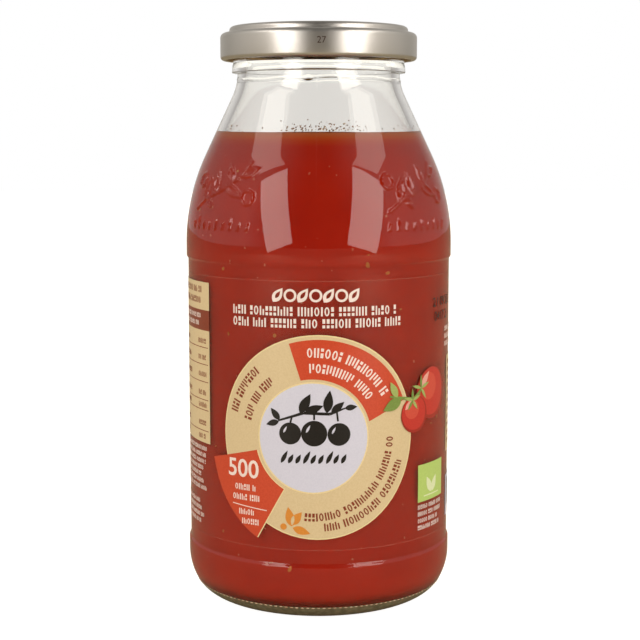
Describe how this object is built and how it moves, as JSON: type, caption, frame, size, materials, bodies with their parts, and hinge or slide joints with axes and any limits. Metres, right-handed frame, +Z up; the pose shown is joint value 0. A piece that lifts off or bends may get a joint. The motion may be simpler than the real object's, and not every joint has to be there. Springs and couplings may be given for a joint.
{
  "type": "passata bottle",
  "caption": "Wide-mouth clear glass bottle of tomato passata with a twist-off metal lid and a clear film label round its recessed panel",
  "frame": {"origin": "centre of the foot ring, on the surface the bottle stands on", "axes": "+Z up along the bottle's axis; the front of the label faces -Y; +X to the right seen from the front"},
  "size_m": [0.0762, 0.0762, 0.1632],
  "materials": {
    "clear_glass": "blown and pressed clear soda-lime glass, glossy",
    "passata": "smooth tomato passata, wet and opaque, seen through the glass",
    "tinplate": "satin lacquered tinplate, warm silver",
    "label_film": "clear printed film, thin and glossy"
  },
  "bodies": {
    "root": {"glass_bottle": "clear_glass", "passata": "passata", "lid": "tinplate", "label_film": "label_film"}
  },
  "joints": []
}
